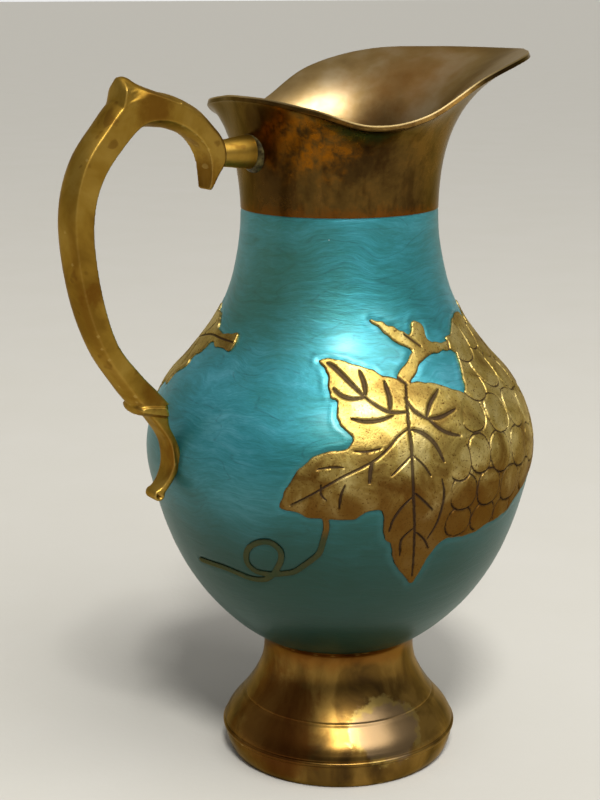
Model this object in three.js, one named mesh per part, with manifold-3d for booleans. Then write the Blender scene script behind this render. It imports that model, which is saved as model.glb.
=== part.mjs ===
// Enamelled brass pitcher on a turned foot: a hollow body casting under a coat of enamel, a neck with a
// wide spout, a bell-shaped foot and a cast scroll handle. Millimetres, +Z up, spout towards +X.

import * as THREE from 'three';
import { mergeVertices } from 'three/addons/utils/BufferGeometryUtils.js';
import Module from 'manifold-3d';

// Driving dimensions -----------------------------------------------------------------------------------

const COLLAR_HEIGHT = 214; // the enamel stops and the bare neck starts
const BODY_BASE = 49.6; // the enamel starts and the foot stops
const CLEARANCE = 0.3; // between two pieces that touch
const SEAM_THICKNESS = 0.6; // solder between two pieces

const BODY_WALL = 2.0;
const ENAMEL_THICKNESS = 0.8;
const RELIEF_RISE = 0.7; // how far the vine stands above the enamel
const RELIEF_ROOT = 0.4; // how far the vine is sunk into the body's wall

const NECK_RADIUS = 36.6;
const NECK_WALL = 2;
const LIP_STEP = 22.5; // degrees between two stations of the lip
const NECK_LEVELS = 9;

const FOOT_WALL = 2.2;
const BASE_RING_WIDTH = 3.0;
const BASE_CHAMFER = { width: 1.5, height: 8 }; // inside the base ring
const BELL_LEVELS = 8;

const HANDLE_WIDTH = 13.6;
const HANDLE_DOME = 2.6; // the outer face is rounded by this much
const POST_RADIUS = 5.1;
const POST_RISE = 22; // the post's axis above the collar
const POST_ENDS = [-56, -34];
const POST_SEGMENTS = 24;
const FILLET_RADIUS = 7.2;
const FILLET_TOE = 0.4; // how thick the fillet's thin end is
const FILLET_FLARE = 2.4; // how long it takes to reach its full radius
const FILLET_ENDS = [-42.6, -34];

const ROUND_SEGMENTS = 40;
const BODY_LEVELS = 16;
const CURVE_SAMPLES = 400;

// Outer face of the enamel, as [height, radius].
const BODY_OUTLINE = [
  [49.6, 32.4], [58, 43.0], [70, 53.8], [86, 63.2], [106, 70.1], [123, 73.4], [138, 71.0], [150, 64.8],
  [160, 56.0], [172, 47.0], [184, 41.4], [196, 38.3], [206, 36.8], [214, 36.6],
];

// Outer face of the foot, as [height, radius]: the band round the base, then the bell above its ridge.
const BASE_BAND = [[0, 41.2], [3, 43.4], [7, 44.8], [10.2, 45.1]];
const RIDGE = { low: 10.4, high: 11.6, radius: 45.6 };
const FOOT_BELL = [[11.8, 45.2], [17, 42.4], [22.4, 37.8]];
const GROOVE = { height: 23, depth: 0.4 };
const FOOT_STEM = [[23.6, 36.9], [29, 33.4], [36, 30.2], [43, 29.2], [48.4, 30.6]];

// The lip at every LIP_STEP from the spout to the handle, as [reach from the axis, rise above the collar].
const LIP = [
  [80.4, 53.9], [71, 54.3], [67.6, 53.2], [60.5, 46.6], [53.7, 34.4],
  [52.4, 31.2], [49.9, 36.3], [43.6, 38.9], [42.8, 39.7],
];

// The two bends of the neck's section, as parts of the lip's flare and rise, on the handle's side and
// the spout's side.
const LOWER_BEND = { flare: [0.085, 0.011], rise: [0.58, 0.58] };
const UPPER_BEND = { flare: [0.778, 0.281], rise: [1, 0.808] };

// The handle's flat side, from the hook's tip over the arch and down to the knuckle. Each row has a point
// of the inner edge and of the outer edge, as [distance behind the axis, height above the collar].
const HANDLE_STATIONS = [
  { inner: [58.0, 10.4], outer: [57.0, 9.7] },
  { inner: [57.6, 14.4], outer: [55.0, 14.4] },
  { inner: [58.0, 19.4], outer: [52.2, 20.0] },
  { inner: [59.4, 23.6], outer: [53.2, 26.0] },
  { inner: [62.4, 27.8], outer: [57.4, 31.2] },
  { inner: [68.2, 32.2], outer: [64.2, 37.2] },
  { inner: [76.0, 34.8], outer: [75.4, 41.6] },
  { inner: [84.6, 33.4], outer: [88.8, 41.4] },
  { inner: [93.0, 25.4], outer: [98.6, 31.6] },
  { inner: [99.6, 16.6], outer: [106.0, 21.4] },
  { inner: [103.2, 6.6], outer: [110.2, 8.4] },
  { inner: [103.9, -6.0], outer: [110.6, -6.4] },
  { inner: [101.4, -24.0], outer: [107.4, -25.8] },
  { inner: [96.4, -40.0], outer: [101.4, -42.2] },
  { inner: [88.4, -51.0], outer: [93.6, -54.4] },
  { inner: [81.6, -58.4], outer: [88.2, -61.6] },
  { inner: [77.0, -63.6], outer: [83.6, -66.6] },
];
const HANDLE_STEPS = 36;
const HANDLE_TIP = { width: 0.5, length: 0.25 }; // parts of the bar's width and length

// The fin at the back of the arch, the bead at the bar's foot and the scroll below it, each an outline in
// the handle's own plane.
const THUMB_PIECE = [
  [74, 38], [76, 42.4], [80.6, 44.4], [85, 46.2], [88, 49.2], [89.8, 48.6], [91, 45], [91.6, 41], [91, 36],
];
const THUMB_WIDTH = 8;
const KNUCKLE = [
  [76, -62], [80, -61.4], [86, -61.8], [89, -62.8], [89.8, -64.4], [88.6, -66], [84, -67.8], [79, -69],
  [75, -69],
];
const KNUCKLE_WIDTH = 14.8;
const SCROLL = [
  [76, -65], [84, -66.5], [81.7, -70.5], [78.2, -75.2], [76.1, -79.3], [75.6, -84], [75.9, -88.4],
  [77.8, -92], [80.4, -95], [82.8, -97], [82.6, -98.8], [80.8, -99.4], [78, -97.6], [75.2, -94.4],
  [72.8, -91], [68, -88], [68, -78],
];
const SCROLL_WIDTH = 10;

// The vine on the body, as [degrees round from the spout, height]. It is repeated on the other side.
const LEAF = [
  [-133, 166.5], [-124, 167], [-115, 165], [-106, 161], [-98, 159], [-90, 157.5], [-80, 154], [-72, 118],
  [-80, 109], [-87, 104], [-94, 102.5], [-98, 95], [-101.5, 88], [-105, 92], [-109, 99], [-112.5, 111],
  [-113.5, 118.5], [-117, 118.5], [-122, 115.5], [-129, 115.5], [-141, 119], [-138, 128.5], [-132, 137],
  [-122, 141], [-125, 148], [-126, 154.5], [-129, 158],
];
const BRANCH = [
  [-110, 179], [-106.5, 176], [-99, 171], [-94, 168.5], [-99.5, 164.5], [-104, 157], [-96, 157],
  [-92, 163.5], [-82, 166], [-68, 164], [-68, 170], [-83.5, 170.5], [-86, 177], [-90.5, 175], [-94, 173.5],
  [-101.5, 177],
];
const GRAPES = [
  [-74, 171], [-62, 176], [-48, 176], [-40, 167], [-36, 152], [-38, 136], [-46, 124], [-58, 118],
  [-74, 110], [-80, 120], [-84, 134], [-84, 150], [-78, 160],
];
const SECOND_LEAF = [
  [-44, 170], [-36, 176], [-26, 178], [-12, 171.5], [6, 171.5], [6, 166], [-12, 166], [-20, 158],
  [-24, 149], [-34, 147], [-44, 152],
];
const TENDRIL_STEM = [[-128.5, 114], [-129, 106], [-134, 98], [-141, 93], [-148, 91.5], [-153, 95],
  [-152, 101]];
const TENDRIL_TAIL = [[-148, 103], [-143, 101], [-142, 95], [-146, 89.5], [-153, 88.5], [-164, 90.5],
  [-175, 90]];
const VINE_HEIGHTS = [80, 190]; // the vine lies between these
const VINE_MIDDLE = 130;
const VINE_RADII = [25, 130]; // inside and outside every part of the wall
const TENDRIL_RADIUS = 1.2;
const TENDRIL_STEPS = 14;

// Shared helpers ---------------------------------------------------------------------------------------

const wasm = await Module();
wasm.setup();

const { degToRad, lerp } = THREE.MathUtils;
const point = (radius, height) => new THREE.Vector2(radius, height);

// Count heights from low to high, both included.
function levels(low, high, count) {
  return Array.from({ length: count }, (unused, i) => lerp(low, high, i / (count - 1)));
}

// The radius at a height on a smooth curve through rows of [height, radius].
function radiusOf(rows) {
  const samples = new THREE.SplineCurve(rows.map((row) => point(row[1], row[0]))).getPoints(CURVE_SAMPLES);
  return (height) => {
    const next = Math.max(1, samples.findIndex((sample) => sample.y >= height));
    const [below, above] = [samples[next - 1], samples[next]];
    return lerp(below.x, above.x, (height - below.y) / (above.y - below.y));
  };
}

// Moves every vertex of a geometry to the point that place gives for it.
function warp(geometry, place) {
  const position = geometry.getAttribute('position');
  const vertex = new THREE.Vector3();
  for (let i = 0; i < position.count; i++) {
    const moved = place(vertex.fromBufferAttribute(position, i));
    position.setXYZ(i, moved.x, moved.y, moved.z);
  }
  return geometry;
}

function toSolid(geometry) {
  const bare = geometry.clone();
  bare.deleteAttribute('normal');
  bare.deleteAttribute('uv');
  const merged = mergeVertices(bare, 1e-4);
  const index = Array.from(merged.getIndex().array);
  const corners = [];
  for (let i = 0; i < index.length; i += 3) {
    const [a, b, c] = index.slice(i, i + 3);
    if (a !== b && b !== c && c !== a) corners.push(a, b, c);
  }
  return new wasm.Manifold(new wasm.Mesh({
    numProp: 3,
    vertProperties: merged.getAttribute('position').array,
    triVerts: new Uint32Array(corners),
  }));
}

function toGeometry(solid) {
  const mesh = solid.getMesh();
  const geometry = new THREE.BufferGeometry();
  geometry.setAttribute('position', new THREE.BufferAttribute(mesh.vertProperties, 3));
  geometry.setIndex(new THREE.BufferAttribute(mesh.triVerts, 1));
  return geometry;
}

// The largest separate lump of a solid, without the scraps that a cut leaves.
function largestLump(solid) {
  return solid.decompose().sort((a, b) => b.volume() - a.volume())[0];
}

// Turns a profile of (radius, height) points about +Z. It goes up outside and down inside.
function turned(profile) {
  return toSolid(new THREE.LatheGeometry(profile, ROUND_SEGMENTS).rotateX(Math.PI / 2));
}

// A closed ring of rectangular section.
function ring(inner, outer, low, high) {
  const corners = [point(inner, low), point(outer, low), point(outer, high), point(inner, high)];
  return turned([...corners, corners[0]]);
}

// An outline with its corners moved out by grow millimetres. One unit of x is across millimetres wide.
function grown(outline, grow, across = 1) {
  const corners = outline.map(([x, y]) => point(x * across, y));
  const outwards = THREE.ShapeUtils.isClockWise(corners) ? -1 : 1;
  const normal = (from, to) => point(to.y - from.y, from.x - to.x).normalize().multiplyScalar(outwards);
  return corners.map((corner, i) => {
    const before = normal(corners.at(i - 1), corner);
    const after = normal(corner, corners[(i + 1) % corners.length]);
    const shift = grow / Math.max(0.4, 1 + before.dot(after));
    return [(corner.x + (before.x + after.x) * shift) / across, corner.y + (before.y + after.y) * shift];
  });
}

// Body and enamel --------------------------------------------------------------------------------------

const enamelRadius = radiusOf(BODY_OUTLINE);
const BODY_TOP = COLLAR_HEIGHT - SEAM_THICKNESS - 2 * CLEARANCE;
const SKIN = ENAMEL_THICKNESS + CLEARANCE;

// A point of the body's wall, moved out by step along the normal of the enamel's face.
function wallPoint(height, step) {
  const reach = 0.5;
  const low = Math.max(height - reach, BODY_BASE);
  const high = Math.min(height + reach, COLLAR_HEIGHT);
  const slope = (enamelRadius(high) - enamelRadius(low)) / (high - low);
  return point(enamelRadius(height) + step * Math.hypot(1, slope), height);
}

function wall(low, high, step) {
  return levels(low, high, BODY_LEVELS).map((height) => wallPoint(height, step));
}

// Everything inside the body's outline moved by step.
function bodyCore(step) {
  return turned([point(0, BODY_BASE), ...wall(BODY_BASE, COLLAR_HEIGHT, step), point(0, COLLAR_HEIGHT)]);
}

function bodyShell() {
  const floor = BODY_BASE + BODY_WALL;
  return turned([
    point(0, BODY_BASE),
    ...wall(BODY_BASE, BODY_TOP, -SKIN),
    ...wall(floor, BODY_TOP, -SKIN - BODY_WALL).reverse(),
    point(0, floor),
  ]);
}

function enamelShell() {
  const top = COLLAR_HEIGHT - CLEARANCE;
  const outer = wall(BODY_BASE, top, 0);
  return turned([...outer, ...wall(BODY_BASE, top, -ENAMEL_THICKNESS).reverse(), outer[0]]);
}

// The vine ---------------------------------------------------------------------------------------------

// A radial block whose cross-section on the body is the outline.
function vineBlock(outline) {
  const [inside, outside] = VINE_RADII;
  const shape = new THREE.Shape(outline.map(([angle, height]) => point(angle, height)));
  const block = new THREE.ExtrudeGeometry(shape, { depth: 1, steps: 1, bevelEnabled: false });
  return toSolid(warp(block, ({ x, y, z }) => {
    const radius = lerp(inside, outside, z);
    return new THREE.Vector3(radius * Math.cos(degToRad(x)), radius * Math.sin(degToRad(x)), y);
  }));
}

function tendril(route, radius) {
  const path = new THREE.CatmullRomCurve3(route.map(([angle, height]) => {
    const reach = enamelRadius(height) - SKIN;
    return new THREE.Vector3(reach * Math.cos(degToRad(angle)), reach * Math.sin(degToRad(angle)), height);
  }));
  const section = new THREE.Shape(levels(0, 2 * Math.PI, 7).slice(0, -1).map(
    (turn) => point(radius * Math.cos(turn), radius * Math.sin(turn)),
  ));
  return toSolid(new THREE.ExtrudeGeometry(section, { extrudePath: path, steps: TENDRIL_STEPS }));
}

// The vine on both sides, as blocks that pass right through the body's wall.
function vineBlocks(grow) {
  const perDegree = degToRad(enamelRadius(VINE_MIDDLE));
  const front = [LEAF, BRANCH, GRAPES, SECOND_LEAF]
    .map((outline) => vineBlock(grown(outline, grow, perDegree)))
    .reduce((sum, block) => sum.add(block));
  return front.add(front.rotate([0, 0, 180]));
}

function tendrils(radius) {
  const front = tendril(TENDRIL_STEM, radius).add(tendril(TENDRIL_TAIL, radius));
  return front.add(front.rotate([0, 0, 180]));
}

// The vine without the wall behind it: the blocks between the root and the raised face.
function relief(blocks) {
  const outer = wall(...VINE_HEIGHTS, RELIEF_RISE);
  const inner = wall(...VINE_HEIGHTS, -SKIN - RELIEF_ROOT).reverse();
  return blocks.intersect(turned([...outer, ...inner, outer[0]]));
}

// Neck and spout ---------------------------------------------------------------------------------------

const FACE = 100; // stands for the neck's outer face in a profile
const LIP_MIDDLE = 40; // rise of the lip's middle over the collar

const lipCurve = new THREE.SplineCurve(
  [LIP[1], ...LIP, LIP[LIP.length - 2]].map(([reach, rise]) => point(reach, rise)),
);

// Reach and rise of the lip at an angle from the spout.
function lipAt(angle) {
  const station = 1 + Math.abs(angle) / degToRad(LIP_STEP);
  return lipCurve.getPoint(station / (LIP.length + 1));
}

// The neck's outer face: t runs from 0 at the collar to 1 at the lip. depth moves the point into the wall.
function neckPoint(angle, t, depth) {
  const lip = lipAt(angle);
  const flare = lip.x - NECK_RADIUS;
  const spoutward = (1 + Math.cos(angle)) / 2;
  const bend = (at) => point(
    NECK_RADIUS + flare * lerp(...at.flare, spoutward),
    lip.y * lerp(...at.rise, spoutward),
  );
  const section = new THREE.CubicBezierCurve(point(NECK_RADIUS, 0), bend(LOWER_BEND), bend(UPPER_BEND), lip);
  const along = section.getTangent(t);
  const { x, y } = section.getPoint(t);
  return point(x - depth * along.y, COLLAR_HEIGHT + Math.max(0, y + depth * along.x));
}

// Lofts a profile round the neck. Its points carry t as height. Their radius is FACE less the depth in
// the wall, or 0 on the axis.
function neckLoft(profile) {
  const loft = new THREE.LatheGeometry(profile, ROUND_SEGMENTS).rotateX(Math.PI / 2);
  return toSolid(warp(loft, ({ x, y, z }) => {
    const radius = Math.hypot(x, y);
    const angle = Math.atan2(y, x);
    const onAxis = radius < 1;
    const target = neckPoint(angle, z, FACE - radius);
    const reach = onAxis ? 0 : target.x;
    const height = onAxis ? COLLAR_HEIGHT + z * LIP_MIDDLE : target.y;
    return new THREE.Vector3(reach * Math.cos(angle), reach * Math.sin(angle), height);
  }));
}

function neckSpout() {
  const outer = levels(0, 1, NECK_LEVELS).map((t) => point(FACE, t));
  const inner = levels(1, 0, NECK_LEVELS).map((t) => point(FACE - NECK_WALL, t));
  return neckLoft([...outer, ...inner, outer[0]]);
}

// Everything inside the neck's outer face and its clearance.
function neckCore() {
  const outer = levels(0, 1, NECK_LEVELS).map((t) => point(FACE + CLEARANCE, t));
  return neckLoft([point(0, 0), ...outer, point(0, 1)]);
}

// Foot -------------------------------------------------------------------------------------------------

function footBase() {
  const outline = (rows) => rows.map(([height, radius]) => point(radius, height));
  const bell = radiusOf([...FOOT_BELL, ...FOOT_STEM]);
  const outer = [
    ...outline(BASE_BAND),
    point(RIDGE.radius, RIDGE.low), point(RIDGE.radius, RIDGE.high),
    ...outline(FOOT_BELL),
    point(bell(GROOVE.height) - GROOVE.depth, GROOVE.height),
    ...outline(FOOT_STEM),
  ];
  const top = outer[outer.length - 1].y;
  const inner = levels(top, RIDGE.high + FOOT_WALL, BELL_LEVELS)
    .map((height) => point(bell(height) - FOOT_WALL, height));
  const ringInside = BASE_BAND[0][1] - BASE_RING_WIDTH;
  const shoulder = point(ringInside + BASE_CHAMFER.width, BASE_CHAMFER.height);
  return turned([...outer, ...inner, shoulder, point(ringInside, 0), outer[0]]);
}

// Handle -----------------------------------------------------------------------------------------------

const station = ([behind, above]) => point(behind, above);
const innerEdge = new THREE.SplineCurve(HANDLE_STATIONS.map(({ inner }) => station(inner)));
const outerEdge = new THREE.SplineCurve(HANDLE_STATIONS.map(({ outer }) => station(outer)));

// The bar's section: x across, y from 0 at the inner edge to 1 at the outer edge and beyond it in
// millimetres, where the outer face is rounded.
function barSection(half) {
  const section = new THREE.Shape([point(-half, 0), point(half, 0), point(half, 1)]);
  [0.6, 0.25, -0.25, -0.6].forEach((across) => {
    section.lineTo(half * across, 1 + HANDLE_DOME * (1 - across ** 2));
  });
  section.lineTo(-half, 1);
  return section;
}

function handleBar(grow) {
  const options = { depth: 1, steps: HANDLE_STEPS, bevelEnabled: false };
  const bar = new THREE.ExtrudeGeometry(barSection(HANDLE_WIDTH / 2 + grow), options);
  return toSolid(warp(bar, ({ x, y, z }) => {
    const inner = innerEdge.getPoint(z);
    const outer = outerEdge.getPoint(z);
    const outward = outer.clone().sub(inner).normalize();
    const base = inner.lerp(outer, Math.min(y, 1));
    const proud = y > 0 ? Math.max(y - 1, 0) + grow : -grow;
    base.addScaledVector(outward, proud);
    const taper = lerp(HANDLE_TIP.width, 1, Math.sqrt(Math.min(z / HANDLE_TIP.length, 1)));
    return new THREE.Vector3(-base.x, -x * taper, COLLAR_HEIGHT + base.y);
  }));
}

// A plate with an outline in the handle's plane.
function handlePlate(outline, width) {
  const shape = new THREE.Shape(outline.map(station));
  const plate = new THREE.ExtrudeGeometry(shape, { depth: width, steps: 1, bevelEnabled: false });
  return toSolid(warp(plate, ({ x, y, z }) => (
    new THREE.Vector3(-x, z - width / 2, COLLAR_HEIGHT + y)
  )));
}

// The bead and the scroll, before they are fitted to the body.
function handleFoot(grow) {
  const knuckle = handlePlate(grown(KNUCKLE, grow), KNUCKLE_WIDTH + 2 * grow);
  return knuckle.add(handlePlate(grown(SCROLL, grow), SCROLL_WIDTH + 2 * grow));
}

function handleCasting() {
  const thumbPiece = handlePlate(THUMB_PIECE, THUMB_WIDTH);
  return handleBar(0).add(thumbPiece).add(handleFoot(0)).subtract(bodyCore(CLEARANCE - SKIN));
}

// A turned piece on the post's axis, between two distances along X.
function onPostAxis(profile) {
  const lathe = new THREE.LatheGeometry(profile, POST_SEGMENTS).rotateZ(-Math.PI / 2);
  return toSolid(lathe.translate(0, 0, COLLAR_HEIGHT + POST_RISE));
}

function handlePost() {
  const [start, end] = POST_ENDS;
  const post = onPostAxis([
    point(0, start), point(POST_RADIUS, start), point(POST_RADIUS, end), point(0, end),
  ]);
  return largestLump(post.subtract(handleBar(CLEARANCE)).subtract(neckCore()));
}

function postFillet() {
  const [start, end] = FILLET_ENDS;
  const bore = POST_RADIUS + CLEARANCE;
  const profile = [
    point(bore, start), point(bore + FILLET_TOE, start), point(FILLET_RADIUS, start + FILLET_FLARE),
    point(FILLET_RADIUS, end), point(bore, end),
  ];
  return onPostAxis([...profile, profile[0]]).subtract(neckCore());
}

// Assembly ---------------------------------------------------------------------------------------------

const material = (color, roughness, metalness) => (
  new THREE.MeshStandardMaterial({ color, roughness, metalness })
);
const goldenBrass = material(0xb38b3a, 0.35, 1);
const brownBrass = material(0x7d5a2b, 0.3, 1);
const solder = material(0x6f6a55, 0.5, 1);
const enamel = material(0x2f8a92, 0.3, 0);

const body = bodyShell().add(relief(vineBlocks(0))).add(tendrils(TENDRIL_RADIUS));
const coat = largestLump(enamelShell()
  .subtract(vineBlocks(CLEARANCE))
  .subtract(tendrils(TENDRIL_RADIUS + CLEARANCE))
  .subtract(handleFoot(CLEARANCE)));
const [footTop, footTopRadius] = FOOT_STEM[FOOT_STEM.length - 1];
const neckSeam = ring(NECK_RADIUS - SKIN - BODY_WALL, NECK_RADIUS - SKIN, BODY_TOP + CLEARANCE,
  COLLAR_HEIGHT - CLEARANCE);
const footSeam = ring(footTopRadius - FOOT_WALL, footTopRadius, footTop + CLEARANCE,
  BODY_BASE - CLEARANCE);

const pieces = [
  ['body_casting', body, goldenBrass],
  ['enamel_coat', coat, enamel],
  ['neck_spout', neckSpout(), brownBrass],
  ['neck_seam', neckSeam, solder],
  ['foot_base', footBase(), brownBrass],
  ['foot_seam', footSeam, solder],
  ['handle_casting', handleCasting(), goldenBrass],
  ['handle_post', handlePost(), goldenBrass],
  ['post_fillet', postFillet(), solder],
];

const group = new THREE.Group();
for (const [name, solid, finish] of pieces) {
  const mesh = new THREE.Mesh(toGeometry(solid), finish);
  mesh.name = name;
  group.add(mesh);
}

// The origin is the middle of the bounding box, on the ground.
const middle = new THREE.Box3().setFromObject(group).getCenter(new THREE.Vector3());
group.position.set(-middle.x, -middle.y, 0);

export default group;
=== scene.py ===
import math
from itertools import pairwise

import bpy
import numpy as np
from mathutils import Matrix, Vector


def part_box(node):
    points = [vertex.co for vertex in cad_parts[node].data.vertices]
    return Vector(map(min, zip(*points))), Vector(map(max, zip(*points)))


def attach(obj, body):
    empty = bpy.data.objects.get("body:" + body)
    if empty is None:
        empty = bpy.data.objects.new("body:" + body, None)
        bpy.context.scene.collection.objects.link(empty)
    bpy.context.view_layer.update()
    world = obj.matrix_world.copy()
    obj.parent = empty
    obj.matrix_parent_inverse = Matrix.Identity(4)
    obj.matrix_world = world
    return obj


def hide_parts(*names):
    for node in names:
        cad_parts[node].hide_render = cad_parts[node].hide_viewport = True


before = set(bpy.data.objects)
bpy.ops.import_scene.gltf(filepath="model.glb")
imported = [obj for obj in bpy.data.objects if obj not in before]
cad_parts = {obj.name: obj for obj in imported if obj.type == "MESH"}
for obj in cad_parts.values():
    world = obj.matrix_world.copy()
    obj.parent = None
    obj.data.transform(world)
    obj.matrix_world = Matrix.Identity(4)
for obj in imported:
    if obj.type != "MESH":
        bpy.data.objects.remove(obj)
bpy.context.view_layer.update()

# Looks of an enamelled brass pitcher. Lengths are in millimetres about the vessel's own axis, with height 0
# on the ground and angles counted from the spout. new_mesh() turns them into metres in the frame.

MM = 0.001
foot_low, foot_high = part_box("foot_base")
AXIS = Vector(((foot_low.x + foot_high.x) / 2, (foot_low.y + foot_high.y) / 2, 0))
WAVE_COUNT = 7

# One seed for each set of waves.
SWELL_SEED, RIPPLE_SEED, SMALL_RIPPLE_SEED, POOL_SEED = range(7, 11)
LIP_SEED, NECK_SEED, POST_SEED, OUTLINE_SEED = range(11, 15)

# --- The body ---

COLLAR_HEIGHT = 214
BODY_BASE = 49.6
SKIN = 1.1  # from the enamel's face down to the brass
ENAMEL_THICKNESS = 0.8
BODY_WALL = 2.0
SHELL_TOP_GAP = 0.6  # between the brass wall and the neck
BODY_OUTLINE = [  # height, radius
    (49.6, 32.4), (58, 43.0), (70, 53.8), (86, 63.2), (106, 70.1), (123, 73.4), (138, 71.0), (150, 64.8),
    (160, 56.0), (172, 47.0), (184, 41.4), (196, 38.3), (206, 36.8), (214, 36.6),
]

# The vine. Every outline and line is in [degrees from the spout, height].
LEAF = [
    (-133.1, 166.4), (-127, 166.9), (-119, 165.2), (-112.6, 163.5), (-109, 161.4), (-104.5, 160.6),
    (-101.5, 158.4), (-98.9, 158.8), (-94, 158.4), (-90.2, 157.6), (-86.8, 156.3), (-80.3, 153.5),
    (-70, 148), (-64, 130), (-70, 118), (-76, 110), (-83, 104.5), (-92, 104.7), (-96.7, 100.1),
    (-100, 90.4), (-101.7, 88.1), (-105, 92.1), (-107, 95.3), (-109, 98.9), (-109.8, 105.1),
    (-112, 107.4), (-112.7, 113.3), (-113.4, 118.4), (-116.7, 118.6), (-119.3, 116.8), (-121.4, 115.4),
    (-128.6, 115.7), (-132.6, 115.9), (-135.3, 117.2), (-138, 118.5), (-141.3, 119.2), (-139.8, 124.1),
    (-138, 128.4), (-136.4, 132.3), (-134, 134.8), (-132.2, 137.2), (-127.4, 138.9), (-123.3, 139.6),
    (-121.9, 140.9), (-121.3, 143.7), (-123.2, 146.2), (-125.2, 147.7), (-125.5, 152.1), (-125.9, 154.7),
    (-127.8, 155.5), (-128.3, 157.3), (-129, 159), (-128.9, 161.3), (-130.6, 164.3),
]
BRANCH = [
    (-110.8, 179), (-106.1, 178.4), (-101.6, 176.9), (-97.2, 175.3), (-93.8, 173.4), (-91, 174.6),
    (-90.4, 176.5), (-88.2, 177.6), (-85.6, 176.9), (-84, 175.2), (-84.6, 172.7), (-83.4, 170.5),
    (-78.2, 169.3), (-71.5, 168.9), (-66, 171), (-66, 164), (-72.3, 165.4), (-74.3, 166.5),
    (-82.3, 166.4), (-87.7, 165.8), (-92.4, 163.9), (-96, 161), (-99, 158.6), (-102, 156),
    (-103.8, 161), (-99.7, 164), (-96.1, 166.4), (-93.6, 168.3), (-98.8, 170.5), (-102.7, 173.1),
    (-106.6, 176.2),
]
GRAPE_BUNCH = [
    (-73, 170.2), (-68, 171), (-60, 175), (-50, 176.5), (-42, 172), (-37, 160), (-35.5, 146), (-38, 134),
    (-44, 123), (-54, 116), (-62, 111), (-68, 107.4), (-76, 106), (-82, 104.2), (-89, 104), (-95, 107),
    (-93.6, 114), (-93.3, 127), (-92, 133), (-86.5, 139), (-86, 147), (-82, 152), (-78.5, 154.5),
    (-75, 159), (-72.3, 163), (-71, 166.5),
]
GRAPES = [  # degrees, height, half width, half height, from the top tile down
    (-66, 168, 6.4, 8.2), (-54, 170, 6.2, 7.6), (-44, 165, 6, 7.6),
    (-74, 156.4, 6.4, 8.4), (-60.5, 158.6, 6.8, 8.8), (-49, 155, 6.2, 8.4), (-39.5, 151.5, 5.6, 8),
    (-80.9, 147.2, 6.1, 6.9), (-69.2, 145, 6.2, 7.2), (-57.6, 144.2, 6.2, 7.4), (-46.2, 141.6, 6.2, 7.2),
    (-89.6, 133, 4.9, 7), (-81.8, 133.8, 5.2, 6.8), (-72.6, 132.4, 6.1, 7.2), (-61.6, 131.4, 6.4, 7.2),
    (-50.6, 129.4, 6.2, 7), (-41, 134, 5, 6.4),
    (-88.4, 121.4, 5.8, 6.4), (-78.6, 121, 6, 6.6), (-68, 119.6, 6.2, 6.4), (-57, 119.4, 5.6, 5.8),
    (-89, 110.4, 5.4, 5.6), (-79.4, 110.2, 5.8, 5.6), (-70, 110, 5, 5),
]
SECOND_LEAF = [
    (-42, 168), (-39.5, 173.5), (-34.5, 175), (-30.6, 178.4), (-27.5, 175.6), (-22.6, 176), (-17.4, 174.2),
    (-13, 171.2), (-6, 170.4), (0, 171.2), (5.6, 171.4), (5.6, 166.2), (0, 166.2), (-6, 166), (-12, 166.8),
    (-15.4, 162.4), (-19.6, 160.6), (-19, 156.6), (-23.4, 153.6), (-24.2, 149), (-29, 149.6),
    (-33.6, 146.4), (-38, 149), (-42, 152),
]
TENDRIL_STEM = [
    (-128.6, 116.1), (-128.4, 111.9), (-129.6, 105.8), (-130.8, 101.7), (-133.9, 98.2), (-138.1, 94.1),
    (-141.3, 92.8), (-146.4, 91.6), (-151.4, 91.9), (-154, 95.1), (-153, 100.2), (-149.5, 103.8),
    (-145.3, 105), (-142.2, 102.2), (-142.4, 97.7), (-145, 92.4),
]
TENDRIL_TAIL = [(-145, 92.4), (-148.5, 89.1), (-154, 88.3), (-159.4, 89.5), (-165.4, 90.4), (-175.2, 90.2)]
TENDRIL_HALF_WIDTH = 1.05

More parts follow.
